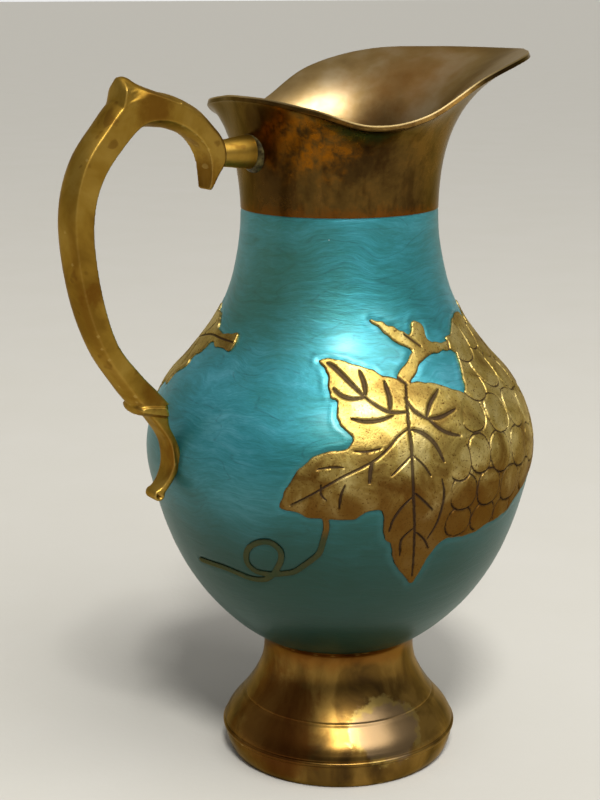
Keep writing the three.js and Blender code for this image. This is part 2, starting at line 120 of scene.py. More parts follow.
# Chased lines, each with the half width of its widest place. A line starts and ends in a point.
VEINS = [
    (0.62, [(-101.3, 158.4), (-102.8, 154.1), (-103.8, 149.7), (-104.3, 145.2), (-104.5, 138.8),
            (-104.8, 132.3), (-104.6, 121.8), (-103.5, 110.3), (-102.4, 98), (-101.8, 91)]),
    (0.75, [(-103.7, 150.3), (-109.3, 150.7), (-113.2, 152.8), (-116.8, 155.6)]),
    (1.05, [(-116.6, 155.4), (-121.1, 159.6), (-126.4, 164), (-129.6, 165.6)]),
    (0.95, [(-116.3, 155.9), (-116.2, 159.4), (-117.5, 163.2)]),
    (0.95, [(-109.2, 151.1), (-108.4, 155), (-108.9, 159.6)]),
    (0.95, [(-127, 158), (-124.4, 156), (-120.8, 155), (-116.8, 155.2)]),
    (0.85, [(-121.3, 149.2), (-117.6, 148.3), (-113, 148.4), (-108.6, 149.6)]),
    (0.8, [(-103.2, 154.4), (-101.3, 150.4), (-97.6, 147.4)]),
    (0.9, [(-98, 147.9), (-95.2, 152), (-90, 155.6)]),
    (0.9, [(-98.2, 147.8), (-93.4, 147.6), (-86.8, 149.3)]),
    (0.95, [(-97.6, 147.8), (-94.6, 144.2), (-91.6, 142.2), (-88, 140.9)]),
    (1.1, [(-103.6, 145), (-100, 143.2), (-97, 139.4), (-95, 133.4)]),
    (0.5, [(-104.6, 145.2), (-107.9, 143.2), (-111, 139.9), (-114.9, 136.3), (-119.1, 133.7),
           (-123.8, 131), (-127.9, 128), (-132.5, 124.4), (-137.9, 120.5)]),
    (0.45, [(-120.9, 139.3), (-117.4, 139), (-113.2, 139.8)]),
    (0.9, [(-115.8, 136), (-116.5, 132.5), (-116.8, 128.4)]),
    (0.45, [(-104.8, 136.8), (-107.7, 133.9), (-110.8, 130.6)]),
    (0.45, [(-104.4, 137), (-101.3, 133.1), (-99.4, 129.2)]),
    (0.5, [(-104.8, 122.9), (-107.3, 120.1), (-109, 117.4), (-110.3, 114.2), (-110.9, 110.4)]),
    (0.45, [(-104.2, 124), (-101.6, 120.9), (-98.6, 117)]),
    (0.45, [(-104, 110.8), (-106.4, 108.1), (-107.3, 105.5), (-106.9, 100.4)]),
    (0.4, [(-103, 109.2), (-100, 105.7), (-98.2, 102)]),
    (0.4, [(-130.9, 133.2), (-127.3, 134), (-123.6, 134)]),
    (0.45, [(-123.2, 128.4), (-124.4, 124.6), (-124.8, 120)]),
    (0.4, [(-129.8, 128), (-129.6, 124.6), (-128.2, 122.6)]),
    (0.5, [(-96.2, 128), (-95.4, 122), (-96.6, 112), (-99, 106)]),
    (0.55, [(-104.2, 161.4), (-102.6, 159.6), (-100.8, 158.2)]),
    (0.5, [(-95.6, 173.6), (-92.1, 171.2), (-89.2, 169)]),
    (0.45, [(-72.8, 169), (-74.2, 167.2), (-75.2, 165.4)]),
    (0.55, [(-42, 163), (-34, 164.6), (-26, 166.6), (-16, 168.6), (-4, 168.8), (5, 168.8)]),
    (0.9, [(-35.4, 164.8), (-32, 169.2), (-30.8, 175)]),
    (0.85, [(-26.4, 166.8), (-22, 170.4), (-18.6, 173.2)]),
    (0.9, [(-36, 163.8), (-32.6, 157.4), (-33, 150)]),
    (0.85, [(-27.4, 165.8), (-25, 160), (-23, 155.4)]),
]

RELIEF_RISE = 0.62
RELIEF_ROOT = 1.3  # how far under the enamel's face the vine reaches
RELIEF_EDGE = 0.22  # the vine's height right at its outline
RELIEF_ROUNDING = 0.55
RELIEF_RAGGED = {"reach": 0.55, "size": 5.5}  # how far the outline wanders
RELIEF_SWELL = {"rise": 0.05, "size": 14}  # slow waves of the vine's face
RIM_BAND = (0.1, 1.4)  # distances from the outline over which the rim is browner
TENDRIL_COVER = (2.5, 9)  # distances from the leaves over which enamel covers the tendril
TENDRIL_SINK = 0.3  # part of its height that the covered tendril loses
GROOVE_DEPTH = 0.58
VEIN_END = 0.25  # a line's width at its ends, as part of its widest place
VEIN_SWELL = 0.7  # below 1, a line widens quickly from its ends
VEIN_FLOOR = 0.35  # part of a line's width that lies at full depth
VEIN_BLUR = 0.25  # how far its walls run past its width
GRAPE_DOME = 0.4
GRAPE_SINK = 0.3  # how far the bunch lies below the leaf's face
GRAPE_LINE = {"centre": 0.2, "flat": 0.1, "half_width": 0.5, "inner": 0.15}  # the line round a grape
GRAPE_SHAPE = 2.3  # 2 is an oval, and more is squarer
GRAPE_TILT = 0.4  # part of a grape's height that slopes down to the next row
BUNCH_EDGE = 1.2  # width over which the leaf's face turns into grapes
VINE_SPACING = 0.42
VINE_SNAPS = 2  # how many times the border's points move onto the outline
VINE_PROBE = 0.05  # the step that measures which way the outline lies
VINE_REACH = 0.45  # a point this part of the spacing inside the outline, or nearer, moves onto it
VINE_LEAST_SLOPE = 0.3
VINE_ANGLES = (-177.0, 7.0)
VINE_HEIGHTS = (86.5, 180.5)
VINE_RADIUS = 68.0  # a radius for spacing the vine's points round the body

# --- The enamel ---

ENAMEL_COLUMNS = 500
ENAMEL_ROWS = (15, 141, 18)  # below, beside and above the vine
ENAMEL_INNER_ROWS = 22
# The coat's slow ripples. The large ones lean round the body, and the small ones climb it.
RIPPLE = {"height": 0.11, "size": 34, "lean": 20}
SMALL_RIPPLE = {"height": 0.044, "size": 13, "climb": 0.3}
LEAF_POOL = {"height": 0.17, "gap": 1.9, "spread": 0.95}  # enamel heaped along the outline
TENDRIL_POOL = {"height": 0.051, "gap": 1.7, "spread": 0.8}
POOL_CHANGE = {"least": 0.75, "wave": 0.45, "size": 21}
TROUGH_DEPTH = 0.2  # how far the coat falls off beside the vine
TROUGH_WIDTH = 1.1
UNDER_DEPTH = 0.3  # how much further it falls under the vine
UNDER_BAND = (0.2, 1.4)
END_FALL = 0.3  # how far the coat's two ends are rolled in
END_WIDTHS = (2, 1.2)  # at the foot and at the collar
EDGE_BAND = (0.2, 3.2)  # distances from the leaf over which the enamel is paler

# --- The neck ---

NECK_RADIUS = 36.6
NECK_WALL = 2.0
LIP_ROUNDING = 0.35
LIP_STEP = 22.5  # degrees between two stations of the lip
LIP_WAVER = {"height": 0.2, "size": 60}
NECK_WAVER = {"depth": 0.1, "size": 26, "across": 40, "lean": 17}
LIP = [  # reach from the axis, rise above the collar, from the spout round to the handle
    (80.4, 53.9), (71, 54.3), (67.6, 53.2), (60.5, 46.6), (53.7, 34.4), (52.4, 31.2), (49.9, 36.3),
    (43.6, 38.9), (42.8, 39.7),
]
# The two bends of the neck's section, as parts of the lip's flare and rise, on the handle's side and on
# the spout's side.
LOWER_BEND = {"flare": (0.085, 0.011), "rise": (0.58, 0.58)}
UPPER_BEND = {"flare": (0.778, 0.281), "rise": (1, 0.808)}

# --- The foot ---

FOOT_WALL = 2.2
BASE_BAND = [(0, 41.2), (0.5, 41.9), (3, 43.5), (7, 44.8), (9.6, 45.1)]  # height, radius
RIDGE = [(9.8, 45.3), (10.2, 45.7), (10.9, 45.8), (11.4, 45.5), (11.7, 45.0)]
FOOT_BELL = [(12.2, 45.1), (14, 44.3), (17, 42.4), (22.4, 37.8), (29, 33.4), (36, 30.2), (43, 29.2),
             (47, 30.0), (49.4, 31.6)]
FOOT_GROOVE = {"height": 23, "depth": 0.42, "half_width": 0.34}
FOOT_RIM = [(39.7, 8.5), (38.6, 4), (38.2, 0.4), (38.6, 0)]  # inside the base: radius, height
FOOT_HOLLOW_START = 13  # the height where the inside turns from the rim's line to the bell's

# --- The handle, in its own plane: distance behind the axis, height above the collar ---

HANDLE_WIDTH = 13.6
HANDLE_DOME = 2.4
DOME_START = (-0.02, 0.12)  # parts of the bar's length over which its dome rises
HANDLE_HOLLOW = 0.7  # how far the inner face is hollowed
HANDLE_STATIONS = [  # a point of the inner edge and one of the outer edge
    ((58.0, 10.4), (57.0, 9.7)), ((57.6, 14.4), (55.0, 14.4)), ((58.0, 19.4), (52.2, 20.0)),
    ((59.4, 23.6), (53.2, 26.0)), ((62.4, 27.8), (57.4, 31.2)), ((68.2, 32.2), (64.2, 37.2)),
    ((76.0, 34.8), (75.4, 41.6)), ((84.6, 33.4), (88.8, 41.4)), ((93.0, 25.4), (98.6, 31.6)),
    ((99.6, 16.6), (106.0, 21.4)), ((103.2, 6.6), (110.2, 8.4)), ((103.9, -6.0), (110.6, -6.4)),
    ((101.4, -24.0), (107.4, -25.8)), ((96.4, -40.0), (101.4, -42.2)), ((88.4, -51.0), (93.6, -54.4)),
    ((81.6, -58.4), (88.2, -61.6)), ((77.0, -63.6), (83.6, -66.6)),
]
TIP = {"width": 0.5, "length": 0.25}  # the hook's taper, as parts of the bar's width and length
KEEL = {"start": 0.12, "middle": 0.38, "end": 0.52, "depth": 2.6}  # the swelling under the arch
HORN = [(68, 40.2), (71.6, 42.4), (75.5, 43.9), (79.4, 45.2), (83.1, 46.6), (85.4, 47.8), (87.2, 49.1),
        (89.2, 49.6), (90.8, 49), (91.6, 47), (92.2, 44.6), (92.8, 42), (93, 38.5), (86, 35), (74, 37)]
KNUCKLE = [(77.6, -63.4), (80, -62.6), (86, -61.8), (89.2, -62.6), (90, -64.4), (88.6, -66.6), (84, -68),
           (79, -69.2), (76.8, -69), (76.2, -66.4)]
SCROLL = [(77, -64), (84.4, -66), (81.7, -70.5), (78.4, -75.2), (76.4, -79.3), (75.6, -83.5),
          (75.8, -87.5), (77.3, -91.2), (79.4, -94), (81.6, -96), (79.4, -98.2), (76.6, -95.6),
          (74.2, -92.2), (72.4, -87.6), (72, -82), (73.6, -77), (76, -72), (76.4, -68)]
PLATES = [  # name, outline, its widths at two heights, those heights, rounding and flatness of its rim
    ("horn", HORN, (13.6, 7.0), (45.0, 49.6), 1.7, 2.5),
    ("knuckle", KNUCKLE, (15.4, 15.4), (-70, -60), 1.9, 2.5),
    ("scroll", SCROLL, (7.6, 10.4), (-97, -84), 0.6, 5),
]
CURL = {"behind": 80.2, "height": -97.3, "radius": 2.2, "width": 7.6}  # the rolled end of the scroll
CASTING_VOXEL = 0.36
CASTING_SMOOTHING = 3

POST_RADII = (4.5, 6.1)  # at the handle and at the neck
POST_RISE = 22
POST_SPAN = (-57.2, -37.6)
POST_HEAD = {"swell": 0.5, "length": 4, "neck": 3}  # where the post meets the hook
SOLDER_SPAN = (-39.1, -36.6)
SOLDER_RADIUS = 7.5
LUMPS = {"post": 0.012, "solder": 0.035, "size": 70, "along": 9}  # parts of the radius; size in degrees

# Brown stains on the handle; the one just above the knuckle is also painted shadow where the bar meets it:
# azimuth, reach from the axis, height, size
HANDLE_STAINS_AND_SHADE = [
    (-176, 80, COLLAR_HEIGHT + 39, 6), (180, 58, COLLAR_HEIGHT + 15, 7), (-177, 105, COLLAR_HEIGHT - 22, 4),
    (-176, 82, COLLAR_HEIGHT - 59, 6), (-176, 70, COLLAR_HEIGHT + 22, 6), (-176, 78, COLLAR_HEIGHT - 84, 6),
]

# --- The view and the lights ---

CAMERA = {"distance": 610.9, "height": 288.7, "azimuth": -125.0, "heading": 56.39, "pitch": 13.68,
          "roll": -0.21, "lens": 74.25}
KEY_LIGHT = {"kind": "SUN", "azimuth": -119, "elevation": 54, "distance": 1700,
             "settings": {"angle": math.radians(11), "energy": 2.2}}
FILL_LIGHT = {"kind": "AREA", "azimuth": -86, "elevation": 56, "distance": 1700,
              "settings": {"shape": "DISK", "size": 1.4, "energy": 20}}
LIGHT_AIM = 130  # the height that the lights shine at
FLOOR = {"half_size": 200000, "drop": 0.02}  # a hair below the foot
WORLD_LEVELS = [(0.0, 0.85), (0.1, 0.5), (0.3, 0.34), (0.6, 0.44), (1.0, 0.7)]  # sine of elevation, level
WORLD_BRIGHT_SIDE = 56  # azimuth
WORLD_DIM = 0.35  # level on the other side


# --- Shared helpers ---

def spline(points, steps, closed=False):
    """Points of a smooth curve through points, with some steps to each span."""
    fixed = np.array(points, float)
    count = len(fixed)
    start = np.arange(count if closed else count - 1)
    places = [start + k for k in range(-1, 3)]
    places = [place % count if closed else np.clip(place, 0, count - 1) for place in places]
    a, b, c, d = (fixed[place][:, None, :] for place in places)
    t = np.linspace(0, 1, steps, endpoint=False)[None, :, None]
    square, cube = (2 * a - 5 * b + 4 * c - d) * t**2, (3 * b - a - 3 * c + d) * t**3
    curve = 0.5 * (2 * b + (c - a) * t + square + cube)
    curve = curve.reshape(-1, fixed.shape[1])
    return curve if closed else np.vstack([curve, fixed[-1:]])


def smoothstep(value, low, high):
    t = np.clip((value - low) / (high - low), 0, 1)
    return t * t * (3 - 2 * t)


def waves(x, y, size, seed):
    """Smooth bumps from -1 to 1 over a flat place, some millimetres in size."""
    random = np.random.default_rng(seed)
    total = np.zeros(np.broadcast(x, y).shape)
    least, most = (0, 0, 0.6), (math.pi, 2 * math.pi, 1.6)
    for turn, phase, stretch in random.uniform(least, most, (WAVE_COUNT, 3)):
        across = x * math.cos(turn) + y * math.sin(turn)
        total += np.sin(across * 2 * math.pi / (size * stretch) + phase)
    return total / WAVE_COUNT


def direction(azimuth, elevation):
    """A step of length 1 towards an azimuth and an elevation in degrees."""
    turn, lift = math.radians(azimuth), math.radians(elevation)
    return Vector((math.cos(turn) * math.cos(lift), math.sin(turn) * math.cos(lift), math.sin(lift)))


def grid_faces(rows, columns, wrap_rows=False, wrap_columns=True):
    """Quads between the points of a grid that is stored row by row."""
    i = np.arange(rows if wrap_rows else rows - 1)[:, None]
    j = np.arange(columns if wrap_columns else columns - 1)[None, :]
    below, above = i * columns, (i + 1) % rows * columns
    here, there = j, (j + 1) % columns
    return np.stack([below + here, below + there, above + there, above + here], -1).reshape(-1, 4)


def turned(profile, segments):
    """Points and faces of a closed outline of (radius, height) turned about the axis."""
    radius, height = np.array(profile, float).T
    turn = np.arange(segments) * 2 * math.pi / segments
    points = np.stack(np.broadcast_arrays(
        radius[:, None] * np.cos(turn), radius[:, None] * np.sin(turn), height[:, None],
    ), -1)
    return points.reshape(-1, 3), grid_faces(len(radius), segments, wrap_rows=True)


def new_mesh(name, points, faces):
    """A mesh in the frame, in metres, from points in millimetres about the vessel's axis."""
    mesh = bpy.data.meshes.new(name)
    scaled = np.asarray(points, float) * MM + np.array(AXIS)
    if isinstance(faces, np.ndarray):
        faces = faces.tolist()
    mesh.from_pydata(scaled.tolist(), [], faces)
    mesh.update()
    return mesh


def piece(name, mesh, slot, material, *nodes, sharp=40):
    """A finished piece: shaded smooth but for sharp edges, riding on the body, standing for CAD nodes."""
    mesh.shade_smooth()
    mesh.set_sharp_from_angle(angle=math.radians(sharp))
    mesh.materials.clear()
    mesh.materials.append(material)
    made = bpy.data.objects.new(name, mesh)
    bpy.context.scene.collection.objects.link(made)
    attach(made, "root")
    if nodes:
        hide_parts(*nodes)
    return made


def mark(mesh, name, values):
    """Stores a number for each point of a mesh, for its material to read."""
    attribute = mesh.attributes.new(name, "FLOAT", "POINT")
    attribute.data.foreach_set("value", np.asarray(values, np.float32))


# --- The body's face ---

BODY_CURVE = spline(BODY_OUTLINE, 40)
BODY_SLOPE = np.gradient(BODY_CURVE[:, 1], BODY_CURVE[:, 0])
BODY_ARC = np.concatenate([[0], np.cumsum(np.hypot(*np.diff(BODY_CURVE, axis=0).T))])


def body_radius(height):
    return np.interp(height, BODY_CURVE[:, 0], BODY_CURVE[:, 1])


def arc_at(height):
    """Millimetres up the body's face from its base to a height."""
    return np.interp(height, BODY_CURVE[:, 0], BODY_ARC)


def height_at(arc):
    return np.interp(arc, BODY_ARC, BODY_CURVE[:, 0])


def on_body(degrees, height, proud):
    """A point of the body's face, moved out along its normal by proud."""
    slope = np.interp(height, BODY_CURVE[:, 0], BODY_SLOPE)
    length = np.hypot(1, slope)
    reach = body_radius(height) + proud / length
    turn = np.radians(degrees)
    return np.stack(np.broadcast_arrays(
        reach * np.cos(turn), reach * np.sin(turn), height - proud * slope / length,
    ), -1)


class Face:
    """Places on the body's face, which measure the distance to lines drawn on it."""

    def __init__(self, degrees, height):
        self.degrees, self.height = degrees, height
        self.arc = arc_at(height)
        self.scale = np.radians(body_radius(height))  # millimetres to a degree

    def line(self, line):
        """Distance to a line, and how far along it, from 0 to 1, the nearest place is."""
        line = np.array(line, float)
        line[:, 1] = arc_at(line[:, 1])
        best, along = np.full(self.degrees.shape, np.inf), np.zeros(self.degrees.shape)
        for k, (start, end) in enumerate(pairwise(line)):
            x, y = (start[0] - self.degrees) * self.scale, start[1] - self.arc
            dx, dy = (end[0] - start[0]) * self.scale, end[1] - start[1]
            t = np.clip(-(x * dx + y * dy) / (dx * dx + dy * dy), 0, 1)
            gap = np.hypot(x + t * dx, y + t * dy)
            closer = gap < best
            best = np.where(closer, gap, best)
            along = np.where(closer, (k + t) / (len(line) - 1), along)
        return best, along

    def outline(self, outline):
        """Distance to a closed outline, below 0 inside it."""
        closed = np.vstack([outline, outline[:1]])
        inside = np.zeros(self.degrees.shape, bool)
        for start, end in pairwise(closed):
            crosses = (start[1] > self.height) != (end[1] > self.height)
            run, rise = end[0] - start[0], end[1] - start[1] or 1
            inside ^= crosses & (self.degrees < start[0] + (self.height - start[1]) / rise * run)
        return self.line(closed)[0] * np.where(inside, -1, 1)


def vine_outlines():
    return [spline(outline, 3, closed=True) for outline in (LEAF, BRANCH, GRAPE_BUNCH, SECOND_LEAF)]


def leaf_distance(face):
    """Distance to the slightly ragged outline of the leaves, branch and grapes, below 0 on them."""
    ragged = waves(face.degrees * math.radians(VINE_RADIUS), face.arc, RELIEF_RAGGED["size"], OUTLINE_SEED)
    gap = np.minimum.reduce([face.outline(outline) for outline in vine_outlines()])
    return gap + RELIEF_RAGGED["reach"] * ragged


def tendril_distance(face):
    routes = (TENDRIL_STEM, TENDRIL_TAIL)
    return np.minimum.reduce([face.line(spline(route, 3))[0] for route in routes]) - TENDRIL_HALF_WIDTH


def vine_distance(face):
    return np.minimum(leaf_distance(face), tendril_distance(face))


def veins(face):
    """Depth of the chased lines, from 0 to 1."""
    depth = np.zeros(face.degrees.shape)
    for half_width, route in VEINS:
        gap, along = face.line(spline(route, 4))
        width = half_width * (VEIN_END + (1 - VEIN_END) * np.sin(math.pi * along) ** VEIN_SWELL)
        depth = np.maximum(depth, 1 - smoothstep(gap, VEIN_FLOOR * width, width + VEIN_BLUR))
    return depth


def grapes(face):
    """Height of the grapes' tiles, and the depth of the lines round them, from 0 to 1."""
    rise, line = np.zeros(face.degrees.shape), np.zeros(face.degrees.shape)
    free = np.ones(face.degrees.shape, bool)
    for degrees, height, half_width, half_height in GRAPES:
        x = (face.degrees - degrees) * face.scale / half_width
        y = (face.arc - arc_at(height)) / half_height
        rho = np.sqrt(np.abs(x) ** GRAPE_SHAPE + np.abs(y) ** GRAPE_SHAPE)
        gap = (rho - 1) * min(half_width, half_height)
        tile = free & (gap < 0)
        dome = (1 - GRAPE_TILT) * np.sqrt(np.clip(1 - rho**2, 0, 1))
        dome += GRAPE_TILT * np.clip(-y, -1, 1) * (1 - rho)
        rise = np.where(tile, GRAPE_DOME * dome, rise)
        near = free & (gap > -GRAPE_LINE["inner"])
        away = np.abs(gap - GRAPE_LINE["centre"])
        cut = 1 - smoothstep(away, GRAPE_LINE["flat"], GRAPE_LINE["half_width"])
        line = np.where(near, np.maximum(line, cut), line)
        free &= gap > 0
    return rise, line


# --- Pieces of the vessel ---

def vine_mesh(name, turn):
    """The raised vine: a fine sheet whose rim lies on the outline, its skirt, and its underside."""
    columns = int(np.radians(VINE_ANGLES[1] - VINE_ANGLES[0]) * VINE_RADIUS / VINE_SPACING)
    low, high = arc_at(np.array(VINE_HEIGHTS, float))
    rows = int((high - low) / VINE_SPACING)
    degrees, arc = np.meshgrid(np.linspace(*VINE_ANGLES, columns), np.linspace(low, high, rows))
    degrees, arc = degrees.ravel(), arc.ravel()
    gap = vine_distance(Face(degrees, height_at(arc)))

    # Only the squares that touch the vine are kept, and their outer corners move onto its outline.
    squares = grid_faces(rows, columns, wrap_columns=False)
    squares = squares[(gap[squares] < 0).sum(1) >= 2]
    used, squares = np.unique(squares, return_inverse=True)
    squares = squares.reshape(-1, 4)
    degrees, arc, gap = degrees[used], arc[used], gap[used]
    for _ in range(VINE_SNAPS):
        rim = np.flatnonzero(gap > -VINE_REACH * VINE_SPACING)
        part = Face(degrees[rim], height_at(arc[rim]))
        beside = vine_distance(Face(degrees[rim] + VINE_PROBE / part.scale, part.height))
        above = vine_distance(Face(degrees[rim], height_at(arc[rim] + VINE_PROBE)))
        here = vine_distance(part)
        slope = np.stack([beside - here, above - here]) / VINE_PROBE
        slope /= np.maximum(np.hypot(*slope), VINE_LEAST_SLOPE)
        degrees[rim] -= here * slope[0] / part.scale
        arc[rim] -= here * slope[1]
        gap = vine_distance(Face(degrees, height_at(arc)))

    face = Face(degrees, height_at(arc))
    depth = veins(face)
    bunch = np.clip(-face.outline(spline(GRAPE_BUNCH, 3, closed=True)) / BUNCH_EDGE, 0, 1)
    grape_rise, grape_line = grapes(face)
    depth = np.maximum(depth * (1 - bunch), grape_line * bunch)
    inside = np.clip(-gap / RELIEF_ROUNDING, 0, 1)
    shoulder = np.sqrt(1 - (1 - inside) ** 2)
    proud = RELIEF_EDGE + (RELIEF_RISE - RELIEF_EDGE) * shoulder
    across = face.degrees * math.radians(VINE_RADIUS)
    swell = RELIEF_SWELL["rise"] * waves(across, face.arc, RELIEF_SWELL["size"], SWELL_SEED)
    proud += shoulder * (swell + (grape_rise - GRAPE_SINK) * bunch)
    proud -= GROOVE_DEPTH * depth * shoulder
    covered = smoothstep(leaf_distance(face), *TENDRIL_COVER)
    proud *= 1 - TENDRIL_SINK * covered
    top = on_body(degrees + turn, face.height, proud)
    bottom = on_body(degrees + turn, face.height, -RELIEF_ROOT)

    # The skirt joins the edges that only one square uses.
    count = len(top)
    edges = np.concatenate([squares[:, [k, (k + 1) % 4]] for k in range(4)])
    keys = np.sort(edges, axis=1)
    _, first, uses = np.unique(keys[:, 0] * count + keys[:, 1], return_index=True, return_counts=True)
    border = edges[first[uses == 1]]
    skirt = np.stack([border[:, 1], border[:, 0], border[:, 0] + count, border[:, 1] + count], -1)
    faces = np.concatenate([squares, squares[:, ::-1] + count, skirt])
    mesh = new_mesh(name, np.vstack([top, bottom]), faces)
    mark(mesh, "groove", np.concatenate([depth, np.ones(count)]))
    mark(mesh, "rim", np.concatenate([1 - smoothstep(-gap, *RIM_BAND), np.ones(count)]))
    mark(mesh, "covered", np.concatenate([covered, covered]))
    return mesh


def pooled(gap, at):
    return at["height"] * np.exp(-(((gap - at["gap"]) / at["spread"]) ** 2))


def enamel_mesh():
    """The enamel coat, pooled a little along the vine's edge."""
    low, high = arc_at(np.array(VINE_HEIGHTS, float))
    stops = (0, low, high, BODY_ARC[-1])
    spans = [np.linspace(*span, rows) for span, rows in zip(pairwise(stops), ENAMEL_ROWS)]
    arcs = np.concatenate([spans[0][:-1], spans[1][:-1], spans[2]])
    turn = np.linspace(-180, 180, ENAMEL_COLUMNS, endpoint=False)
    degrees, arc = (part.ravel() for part in np.meshgrid(turn, arcs))
    height = height_at(arc)
    leaf_gap = tendril_gap = np.full(degrees.shape, np.inf)
    for half in (0, 180):
        wrapped = (degrees - half + 270) % 360 - 270  # from -270 to 90, which holds the whole vine
        face = Face(wrapped, height)
        leaf_gap = np.minimum(leaf_gap, leaf_distance(face))
        tendril_gap = np.minimum(tendril_gap, tendril_distance(face))
    gap = np.minimum(leaf_gap, tendril_gap)
    round_x, round_y = np.cos(np.radians(degrees)), np.sin(np.radians(degrees))
    across = round_x * VINE_RADIUS + round_y * RIPPLE["lean"]
    ripple = RIPPLE["height"] * waves(across, arc, RIPPLE["size"], RIPPLE_SEED)
    across = round_y * VINE_RADIUS + arc * SMALL_RIPPLE["climb"]
    ripple += SMALL_RIPPLE["height"] * waves(across, arc, SMALL_RIPPLE["size"], SMALL_RIPPLE_SEED)
    across = degrees * math.radians(VINE_RADIUS)
    pool = pooled(leaf_gap, LEAF_POOL) + pooled(tendril_gap, TENDRIL_POOL)
    pool *= POOL_CHANGE["least"] + POOL_CHANGE["wave"] * waves(across, arc, POOL_CHANGE["size"], POOL_SEED)
    trough = TROUGH_DEPTH * (1 - smoothstep(gap, 0, TROUGH_WIDTH))
    trough += UNDER_DEPTH * smoothstep(-gap, *UNDER_BAND)
    ends = smoothstep(arc, 0, END_WIDTHS[0]) * smoothstep(BODY_ARC[-1] - arc, 0, END_WIDTHS[1])
    outer = on_body(degrees, height, (ripple + pool - trough) * ends - END_FALL * (1 - ends))
    inner_arcs = np.linspace(BODY_ARC[-1], 0, ENAMEL_INNER_ROWS)
    inner_degrees, inner_arc = (part.ravel() for part in np.meshgrid(turn, inner_arcs))
    inner = on_body(inner_degrees, height_at(inner_arc), -ENAMEL_THICKNESS)
    faces = grid_faces(len(arcs) + ENAMEL_INNER_ROWS, ENAMEL_COLUMNS, wrap_rows=True)
    mesh = new_mesh("enamel", np.vstack([outer, inner]), faces)
    mark(mesh, "edge", np.concatenate([1 - smoothstep(leaf_gap, *EDGE_BAND), np.zeros(len(inner))]))
    return mesh


def body_shell_mesh():
    """The brass wall behind the enamel, closed by its floor, smooth inside."""
    segments, levels = 160, 70
    top = COLLAR_HEIGHT - SHELL_TOP_GAP
    outside = on_body(0, np.linspace(BODY_BASE, top, levels), -SKIN)[:, [0, 2]]
    inside = on_body(0, np.linspace(top, BODY_BASE + BODY_WALL, levels), -SKIN - BODY_WALL)[:, [0, 2]]
    centre = 0.5  # the floor's discs end in a small ring round the axis
    profile = np.vstack([[centre, BODY_BASE], outside, inside, [centre, BODY_BASE + BODY_WALL]])
    return new_mesh("body_shell", *turned(profile, segments))


def lip_at(degrees):
    """Reach and rise of the lip at an angle from the spout."""
    steps = 60
    curve = spline([LIP[1], *LIP, LIP[-2]], steps)
    station = (1 + np.abs(degrees) / LIP_STEP) * steps
    index = np.arange(len(curve))
    return np.interp(station, index, curve[:, 0]), np.interp(station, index, curve[:, 1])


def neck_mesh():
    """The neck and its spout, cut square at the lip with slightly rounded corners."""
    columns, levels = 320, 70
    degrees = np.linspace(-180, 180, columns, endpoint=False)[None, :]
    reach, rise = lip_at(degrees)
    waver = waves(np.radians(degrees) * NECK_RADIUS, 0 * degrees, LIP_WAVER["size"], LIP_SEED)
    rise = rise + LIP_WAVER["height"] * waver
    flare = reach - NECK_RADIUS
    spoutward = (1 + np.cos(np.radians(degrees))) / 2

    def bend(at):
        low, high = at["flare"], at["rise"]
        return (
            NECK_RADIUS + flare * (low[0] + (low[1] - low[0]) * spoutward),
            rise * (high[0] + (high[1] - high[0]) * spoutward),
        )

    corners = [(NECK_RADIUS + 0 * flare, 0 * rise), bend(LOWER_BEND), bend(UPPER_BEND), (reach, rise)]

    def section(t, depth):
        """Points of the neck's section at t from collar to lip, some depth into the wall."""
        t, depth = np.array(t, float)[:, None], np.array(depth, float)[:, None]
        s = 1 - t
        weights = (s**3, 3 * s * s * t, 3 * s * t * t, t**3)
        slopes = (-3 * s * s, 3 * s * s - 6 * s * t, 6 * s * t - 3 * t * t, 3 * t * t)
        radius, height = (sum(w * corner[k] for w, corner in zip(weights, corners)) for k in (0, 1))
        out, up = (sum(w * corner[k] for w, corner in zip(slopes, corners)) for k in (0, 1))
        length = np.hypot(out, up)
        return radius - depth * up / length, height + depth * out / length

    wall = np.linspace(0, 0.99, levels)
    small, edge = LIP_ROUNDING, NECK_WALL
    rim_t = [0.996, 1, 1, 1, 1, 1, 0.996]
    rim_depth = [0, 0.3 * small, small, edge - 2 * small, edge - small, edge - 0.3 * small, edge]
    parts = [section(wall, 0 * wall), section(rim_t, rim_depth), section(wall[::-1], 0 * wall + edge)]
    radius, height = (np.vstack([part[k] for part in parts]) for k in (0, 1))
    height = COLLAR_HEIGHT + np.maximum(height, 0)
    round_x, round_y = np.cos(np.radians(degrees)), np.sin(np.radians(degrees))
    across = round_x * NECK_WAVER["across"] + round_y * NECK_WAVER["lean"]
    radius = radius + NECK_WAVER["depth"] * waves(across, height, NECK_WAVER["size"], NECK_SEED)
    points = np.stack([radius * round_x, radius * round_y, height], -1).reshape(-1, 3)
    mesh = new_mesh("neck", points, grid_faces(len(radius), columns, wrap_rows=True))
    # The lip's rounded inner edge is marked for a painted highlight.
    rim = np.concatenate([np.zeros(levels), [0, 0, 0, 0, 1, 1, 0], np.zeros(levels)])
    inside = np.concatenate([np.zeros(levels + 4), np.ones(levels + 3)])
    mark(mesh, "rim", np.repeat(rim, columns))
    mark(mesh, "inside", np.repeat(inside, columns))
    return mesh


def foot_mesh():
    """The turned foot, hollow under its bell, with its ridge and its cut line."""
    segments = 288
    bell = spline(FOOT_BELL, 16)
    cut = FOOT_GROOVE
    bell[:, 1] -= cut["depth"] * np.exp(-(((bell[:, 0] - cut["height"]) / cut["half_width"]) ** 2))
    outside = np.vstack([spline(BASE_BAND, 8), spline(RIDGE, 5), bell])[:, ::-1]
    inner = spline(FOOT_BELL, 5)[::-1]
    inner = inner[inner[:, 0] > FOOT_HOLLOW_START][:, ::-1] - (FOOT_WALL, 0)
    return new_mesh("foot", *turned(np.vstack([outside, inner, FOOT_RIM]), segments))


